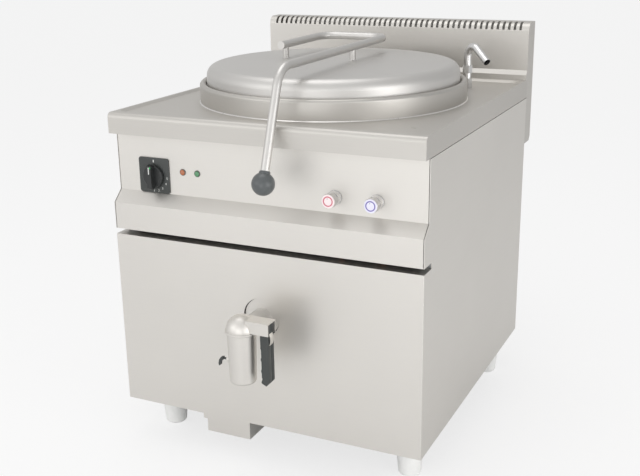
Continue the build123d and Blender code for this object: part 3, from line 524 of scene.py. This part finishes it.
@dataclass
class RegulatorDial:
    """Energy regulator: bezel with printed scale, and the turning knob with its pointer."""

    x: float = -296.0
    z: float = 698.5
    bezel_half: float = 42.0
    bezel_low: float = 657.3
    bezel_high: float = 743.0
    bezel_front: float = 27.0
    disc_r: float = 28.0
    disc_front: float = 17.0
    bar_half: float = 7.0
    bar_front: float = 4.0
    scale_r: float = 36.6
    digit_mm: float = 7.6

    def build(self) -> None:
        """Builds the bezel, its marks and the knob."""
        middle = (self.bezel_low + self.bezel_high) / 2
        half_h = (self.bezel_high - self.bezel_low) / 2
        plate = Shop.slab("dial_bezel", Shop.rounded(self.bezel_half, half_h, 5.0),
                          -30.0, -self.bezel_front, bevel=1.0)
        Shop.piece("dial_bezel", plate, "black_plastic", "cabinet",
                   Shop.facing_front(self.x, 0, middle), replaces=("regulator_bezel",))
        front = Shop.facing_front(self.x, self.bezel_front, self.z)
        lip = Shop.torus("dial_lip", 30.2, 0.9, 72)
        Shop.piece("dial_lip", lip, "black_plastic", "cabinet", front)
        tick = Shop.slab("dial_tick", Shop.rounded(1.3, 3.0, 0.5, 2), 0.0, 0.25)
        Shop.piece("dial_tick", tick, "mark_white", "cabinet",
                   front @ Matrix.Translation(Vector((0, 0.0365, 0))))
        for number, angle in enumerate((-6, -28, -53, -73, -94), start=1):
            self.digit(str(6 - number), angle, front)
        self.knob()

    def digit(self, text: str, angle: float, front: Matrix) -> None:
        """Prints one digit of the scale.

        Args:
            text: the digit.
            angle: degrees from the right, anticlockwise.
            front: placement of the bezel's face.
        """
        curve = bpy.data.curves.new(f"digit_{text}", "FONT")
        curve.body = text
        curve.size = self.digit_mm / 1000
        curve.align_x = "CENTER"
        curve.align_y = "CENTER"
        curve.extrude = 0.00012
        holder = bpy.data.objects.new(f"digit_{text}_curve", curve)
        bpy.context.scene.collection.objects.link(holder)
        bpy.context.view_layer.update()
        mesh = bpy.data.meshes.new_from_object(holder)
        mesh.name = f"dial_digit_{text}"
        bpy.data.objects.remove(holder)
        a = math.radians(angle)
        spot = Vector((self.scale_r * math.cos(a), self.scale_r * math.sin(a), 0.13)) / 1000
        Shop.piece(f"dial_digit_{text}", mesh, "mark_white", "cabinet",
                   front @ Matrix.Translation(spot))

    def knob(self) -> None:
        """Builds the disc, the grip bar, the pointer line and the green mark."""
        place = Shop.facing_front(self.x, 0, self.z)
        disc = Shop.turned("knob_disc", [
            (0, -26.7), (self.disc_r - 0.6, -26.7), (self.disc_r, -26.0), (self.disc_r, -20.5),
            (self.disc_r - 0.8, -18.2), (self.disc_r - 2.6, -self.disc_front),
            (self.disc_r - 7.0, -self.disc_front - 0.4), (0, -self.disc_front - 0.4)], 64)
        Shop.piece("knob_disc", disc, "knob_black", "regulator", place,
                   replaces=("regulator_knob",))
        waist = []
        for k in range(25):
            z = -28.0 + 56.0 * k / 24
            waist.append((self.bar_half - 1.2 * math.cos(math.pi * z / 56.0), z))
        outline = waist + [(-x, z) for x, z in reversed(waist)]
        bar = Shop.slab("knob_bar", outline, -18.0, -self.bar_front, bevel=2.0, segments=4)
        Shop.piece("knob_bar", bar, "knob_black", "regulator", place)
        line = Shop.slab("knob_pointer", Shop.rounded(1.1, 8.5, 0.5, 2), 0.0, 0.2)
        Shop.piece("knob_pointer", line, "mark_white", "regulator",
                   Shop.facing_front(self.x, self.bar_front, self.z + 17.0))
        mark = Shop.slab("knob_green_mark", Shop.rounded(1.6, 2.2, 0.5, 2), 0.0, 0.2)
        Shop.piece("knob_green_mark", mark, "mark_green", "regulator",
                   Shop.facing_front(self.x + 4.0, self.bar_front + 0.0, self.z + 24.0))


@dataclass
class PilotLamp:
    """Pilot lamp: dark moulded bezel ring round the CAD lens."""

    colour: str
    x: float
    z: float = 714.0

    def build(self) -> None:
        """Builds the ring."""
        ring = Shop.turned(f"{self.colour}_lamp_ring", [
            (6.45, 0.0), (8.2, 0.0), (8.2, 0.8), (7.6, 1.9), (6.9, 2.3), (6.45, 1.9)],
            40, closed=True)
        Shop.piece(f"{self.colour}_lamp_ring", ring, "lamp_rim", "cabinet",
                   Shop.facing_front(self.x, 30.0, self.z))


@dataclass
class TapKnob:
    """Water tap knob: plated grip with lobes, pale face plate and a small pip."""

    side: str
    x: float
    z: float = 693.0
    lobes: int = 6
    lobe_turn_deg: float = 14.0
    radius: float = 17.0
    waist: float = 14.9
    back: float = 12.7
    seam: float = -6.6
    face: float = -8.0
    # The next two sizes place a thin dark ring behind the rosette: a painted shadow line where
    # the rosette meets the panel.
    shadow_ring_radius: float = 16.9
    shadow_ring_back: float = 30.0  # where the rosette meets the panel

    def outline(self, scale: float) -> list[tuple[float, float]]:
        """Lobed outline.

        Args:
            scale: share of the full size.

        Returns:
            Points in mm, anticlockwise.
        """
        points = []
        for k in range(120):
            a = 2 * math.pi * k / 120
            swing = math.cos(self.lobes * (a - math.radians(self.lobe_turn_deg)))
            wave = (0.5 + 0.5 * swing) ** 1.3
            r = (self.waist + (self.radius - self.waist) * wave) * scale
            points.append((r * math.cos(a), r * math.sin(a)))
        return points

    def build(self) -> None:
        """Builds the grip, its face plate and the pip."""
        work = bmesh.new()
        stations = [(0.80, self.back), (0.93, self.back), (0.975, self.back - 1.0),
                    (1.0, self.back - 3.0), (1.0, self.seam + 1.4), (0.985, self.seam + 0.4),
                    (0.965, self.seam)]
        rings = []
        for scale, y in stations:
            rings.append([work.verts.new((u / 1000, v / 1000, -y / 1000))
                          for u, v in self.outline(scale)])
        count = len(rings[0])
        for low, high in zip(rings, rings[1:]):
            for k in range(count):
                j = (k + 1) % count
                work.faces.new((low[k], low[j], high[j], high[k]))
        work.faces.new(rings[0][::-1])
        work.faces.new(rings[-1])
        bmesh.ops.recalc_face_normals(work, faces=work.faces)
        mesh = bpy.data.meshes.new(f"{self.side}_tap_grip")
        work.to_mesh(mesh)
        work.free()
        body = f"{self.side}_tap"
        place = Shop.facing_front(self.x, 0, self.z)
        Shop.piece(f"{self.side}_tap_grip", mesh, "tap_white", body, place,
                   replaces=(f"{self.side}_knob",))
        rim = self.waist + 0.6
        plate = Shop.turned(f"{self.side}_tap_face", [
            (0, -self.seam), (rim, -self.seam), (rim, -self.face - 0.5), (rim - 0.5, -self.face),
            (0, -self.face)])
        Shop.piece(f"{self.side}_tap_face", plate, f"tap_face_{self.side}", body, place)
        pip = Shop.slab(f"{self.side}_tap_pip", Shop.rounded(0.5, 1.3, 0.4, 2), 0.0, 0.2)
        Shop.piece(f"{self.side}_tap_pip", pip, "lamp_rim", body,
                   Shop.facing_front(self.x - 1.5, self.face, self.z + 6.0))
        # Thin dark disc just wider than the rosette, flat on the panel: a painted shadow line
        # round the rosette's foot.
        rim, seat = self.shadow_ring_radius, self.shadow_ring_back
        shadow_ring = Shop.turned(f"{self.side}_rosette_shadow_ring", [
            (0, -seat), (rim, -seat), (rim, -seat + 1.1), (rim - 0.9, -seat + 1.4),
            (0, -seat + 1.4)])
        Shop.piece(f"{self.side}_rosette_shadow_ring", shadow_ring, "lamp_rim", "cabinet", place)


@dataclass
class LidFittings:
    """Welds under the handle posts, the ball's ferrule and the hinge screws."""

    posts: tuple[tuple[float, float], ...] = ((-140.0, 430.0), (50.0, 430.0))
    centre_y: float = 420.0

    def build(self) -> None:
        """Builds the pieces on the lid and by its hinge."""
        for number, (x, y) in enumerate(self.posts, start=1):
            reach = math.hypot(x, y - self.centre_y)
            top = 939.0 - 0.01187 * reach
            weld = Shop.turned(f"post_weld_{number}", [
                (8.0, 2.6), (8.7, 1.3), (10.2, 0.5), (11.6, 0.1), (11.6, -0.4), (8.0, -0.4)],
                36, closed=True)
            Shop.piece(f"post_weld_{number}", weld, "tube_steel", "lid",
                       Shop.upright(x, y, top), smooth_deg=60)
        ball = Vector((50.0, -62.0, 733.0))
        up = (Vector((50.0, 28.7, 973.0)) - Vector((50.0, -57.74, 744.2))).normalized()
        spot = ball + up * 24.0
        turn = up.to_track_quat("Z", "Y").to_matrix().to_4x4()
        ferrule = Shop.turned("ball_ferrule", [
            (10.05, -2.0), (12.6, -2.0), (12.8, 0.5), (12.2, 3.2), (11.0, 4.4), (10.05, 4.6)],
            40, closed=True)
        Shop.piece("ball_ferrule", ferrule, "ball_plastic", "lid",
                   Matrix.Translation(at(*spot)) @ turn)
        for number, x in enumerate((-62.0, 62.0), start=1):
            screw = Shop.turned(f"hinge_screw_{number}", [
                (0, 3.0), (2.6, 3.0), (4.3, 2.2), (4.9, 0.0)], 28)
            Shop.piece(f"hinge_screw_{number}", screw, "screw_steel", "cabinet",
                       Shop.upright(x, 784.0, 847.0))


@dataclass
class WorktopDetails:
    """Dressed weld at the collar's foot."""

    collar_r: float = 340.5
    centre_y: float = 420.0
    well_z: float = 844.0

    def build(self) -> None:
        """Builds the weld bead."""
        bead = Shop.turned("collar_weld", [
            (self.collar_r, 2.2), (self.collar_r + 0.9, 1.5), (self.collar_r + 2.0, 0.6),
            (self.collar_r + 2.6, 0.05), (self.collar_r, 0.05)], 160, closed=True)
        Shop.piece("collar_weld", bead, "weld_bright", "cabinet",
                   Shop.upright(0, self.centre_y, self.well_z), smooth_deg=80)


@dataclass
class DrainFittings:
    """Grip mouldings, the clip beside them and the rings of the drain valve."""

    y: float = -95.0
    grip_half: float = 14.0
    hollow_top: float = 366.0
    hollow_pitch: float = 28.5

    def grip_front(self) -> list[tuple[float, float]]:
        """Outline of the grip's front moulding with its finger hollows, in mm."""
        points = [(55.0, 278.0), (66.5, 272.5), (75.0, 282.0), (75.0, 424.4), (54.0, 424.4)]
        steps = 72
        depth = self.hollow_top - 280.5
        for k in range(steps + 1):
            z = self.hollow_top - depth * k / steps
            wave = abs(math.sin(math.pi * (self.hollow_top - z) / self.hollow_pitch))
            points.append((54.2 + 3.6 * wave, z))
        return points

    def build(self) -> None:
        """Builds the grip, the clip, the rings and the nut."""
        front = Shop.slab("grip_front", self.grip_front(), -self.y, self.grip_half - self.y,
                          bevel=1.6, segments=3)
        Shop.piece("grip_front", front, "black_plastic", "drain_turner",
                   Shop.facing_front(0, 0, 0), replaces=("drain_grip",))
        rear = [(47.5, 284.0), (55.0, 277.0), (66.5, 272.5), (75.0, 282.0), (75.0, 424.4),
                (54.0, 424.4), (54.0, 378.0), (47.5, 370.0)]
        back = Shop.slab("grip_rear", rear, -self.y - self.grip_half, -self.y - 0.3, bevel=1.6,
                         segments=3)
        # The rear moulding is the same black plastic as the front, drawn darker: painted shade
        # in the gap between barrel and grip.
        Shop.piece("grip_rear", back, "grip_shade", "drain_turner", Shop.facing_front(0, 0, 0))
        bow = [(75.1, 372.0), (76.9, 375.5), (78.0, 380.0), (78.4, 386.0), (78.0, 392.0),
               (76.9, 396.5), (75.1, 400.0)]
        strip = bow + [(x - 0.9, z) for x, z in reversed(bow)]
        clip = Shop.slab("grip_clip", strip, 88.0, 103.0, bevel=0.25, segments=2)
        Shop.piece("grip_clip", clip, "valve_steel", "drain_turner", Shop.facing_front(0, 0, 0))
        ring = Shop.turned("cap_groove_ring", [
            (36.05, 396.9), (37.0, 397.0), (37.2, 397.9), (36.9, 398.8), (35.9, 399.0)], 72)
        Shop.piece("cap_groove_ring", ring, "valve_steel", "drain_turner",
                   Shop.upright(0, self.y, 0))
        nut = Shop.turned("lock_stem_nut", [
            (2.6, 38.0), (4.8, 38.0), (5.2, 38.6), (5.2, 41.0), (4.6, 41.8), (2.6, 41.8)], 6,
            closed=True)
        turn = Matrix(((0, 0, -1), (0, 1, 0), (1, 0, 0))).to_4x4()
        Shop.piece("lock_stem_nut", nut, "valve_steel", "lock",
                   Matrix.Translation(at(0, self.y, 317.0)) @ turn, smooth_deg=20)


# ---------------------------------------------------------------- studio


@dataclass
class Studio:
    """Camera, floor, world and lamps."""

    camera_mm: tuple[float, float, float] = (1050.3, -1879.1, 1264.2)
    azimuth: float = 25.472
    elevation: float = 17.577
    roll: float = -0.875
    lens: float = 55.34

    def build(self) -> None:
        """Builds the studio."""
        self.camera()
        self.floor()
        self.world()
        self.lamps()
        bpy.context.scene.view_settings.view_transform = "Standard"

    def camera(self) -> None:
        """Places the camera."""
        a = math.radians(self.azimuth)
        e = math.radians(self.elevation)
        roll = math.radians(self.roll)
        back = Vector((math.sin(a) * math.cos(e), -math.cos(a) * math.cos(e), math.sin(e)))
        right = (-back).cross(Vector((0, 0, 1))).normalized()
        up = right.cross(-back)
        x_axis = math.cos(roll) * right + math.sin(roll) * up
        y_axis = -math.sin(roll) * right + math.cos(roll) * up
        data = bpy.data.cameras.new("camera")
        data.sensor_width = 36.0
        data.lens = self.lens
        data.clip_end = 60.0
        thing = bpy.data.objects.new("camera", data)
        bpy.context.scene.collection.objects.link(thing)
        turn = Matrix((x_axis, y_axis, back)).transposed().to_4x4()
        thing.matrix_world = Matrix.Translation(at(*self.camera_mm)) @ turn
        bpy.context.scene.camera = thing

    def floor(self) -> None:
        """Lays a pale floor that shows white and keeps a soft shadow."""
        bpy.ops.mesh.primitive_plane_add(size=40.0, location=(0, 0, 0))
        plane = bpy.context.active_object
        plane.name = "studio_floor"
        material = bpy.data.materials.new("studio_paper")
        material.use_nodes = True
        tree = material.node_tree
        tree.nodes.clear()
        matt = add_node(tree, "ShaderNodeBsdfDiffuse", {"Color": (0.86, 0.86, 0.86, 1)})
        glow = add_node(tree, "ShaderNodeEmission", {"Color": (1, 1, 1, 1), "Strength": 1.0})
        path = add_node(tree, "ShaderNodeLightPath")
        seen = add_node(tree, "ShaderNodeMath", {
            0: path.outputs["Is Camera Ray"], 1: 0.72}, operation="MULTIPLY")
        mix = add_node(tree, "ShaderNodeMixShader", {
            0: seen.outputs[0], 1: matt.outputs[0], 2: glow.outputs[0]})
        add_node(tree, "ShaderNodeOutputMaterial", {"Surface": mix.outputs[0]})
        plane.data.materials.append(material)

    def world(self) -> None:
        """White background with a soft studio surround for the metal."""
        world = bpy.data.worlds.new("studio")
        bpy.context.scene.world = world
        world.use_nodes = True
        tree = world.node_tree
        tree.nodes.clear()
        place = add_node(tree, "ShaderNodeTexCoord")
        parts = add_node(tree, "ShaderNodeSeparateXYZ", {0: place.outputs["Generated"]})
        ramp = add_node(tree, "ShaderNodeMapRange", {
            "Value": parts.outputs["Y"], "From Min": -0.9, "From Max": 0.8,
            "To Min": 0.98, "To Max": 0.62})
        side = add_node(tree, "ShaderNodeMapRange", {
            "Value": parts.outputs["X"], "From Min": -0.2, "From Max": 1.0,
            "To Min": 1.0, "To Max": 0.8})
        level = add_node(tree, "ShaderNodeMath", {
            0: ramp.outputs["Result"], 1: side.outputs["Result"]}, operation="MULTIPLY")
        soft = add_node(tree, "ShaderNodeBackground", {
            "Color": (1, 1, 1, 1), "Strength": level.outputs[0]})
        plain = add_node(tree, "ShaderNodeBackground", {"Color": (1, 1, 1, 1), "Strength": 1.0})
        path = add_node(tree, "ShaderNodeLightPath")
        mix = add_node(tree, "ShaderNodeMixShader", {
            0: path.outputs["Is Camera Ray"], 1: soft.outputs[0], 2: plain.outputs[0]})
        add_node(tree, "ShaderNodeOutputWorld", {"Surface": mix.outputs[0]})

    def lamps(self) -> None:
        """Hangs a low key lamp front left, a fill on the right and one overhead."""
        for name, spot, aim, size, power in (
            ("key", (-2.3, -3.5, 1.7), (0, 0, 0.5), 3.2, 18.0),
            ("fill", (3.4, -1.6, 1.0), (0, 0, 0.3), 2.6, 26.0),
            ("top", (-0.5, 0.1, 3.5), (0, 0, 0.8), 2.2, 16.0),
            ("low", (0.5, -3.4, 0.5), (0, 0, 0.1), 2.0, 14.0),
            ("low_right", (3.0, -0.9, 0.35), (0.3, 0, 0.1), 1.6, 9.0),
        ):
            data = bpy.data.lights.new(name, "AREA")
            data.shape = "DISK"
            data.size = size
            data.energy = power
            lamp = bpy.data.objects.new(name, data)
            bpy.context.scene.collection.objects.link(lamp)
            lamp.location = spot
            aim_at = (Vector(aim) - Vector(spot)).normalized()
            lamp.rotation_mode = "QUATERNION"
            lamp.rotation_quaternion = aim_at.to_track_quat("-Z", "Y")


def main() -> None:
    """Dresses the frame, builds the fittings and the studio, and logs each assembly that it
    builds.
    """
    Finishes.dress_frame()
    for assembly in (
        RegulatorDial(),
        PilotLamp("amber", -216.0),
        PilotLamp("green", -176.0),
        TapKnob("hot", 179.0),
        TapKnob("cold", 279.0),
        LidFittings(),
        WorktopDetails(),
        DrainFittings(),
        Studio(),
    ):
        assembly.build()
        LOG.info("built %s", type(assembly).__name__)


if __name__ == "__main__":
    main()
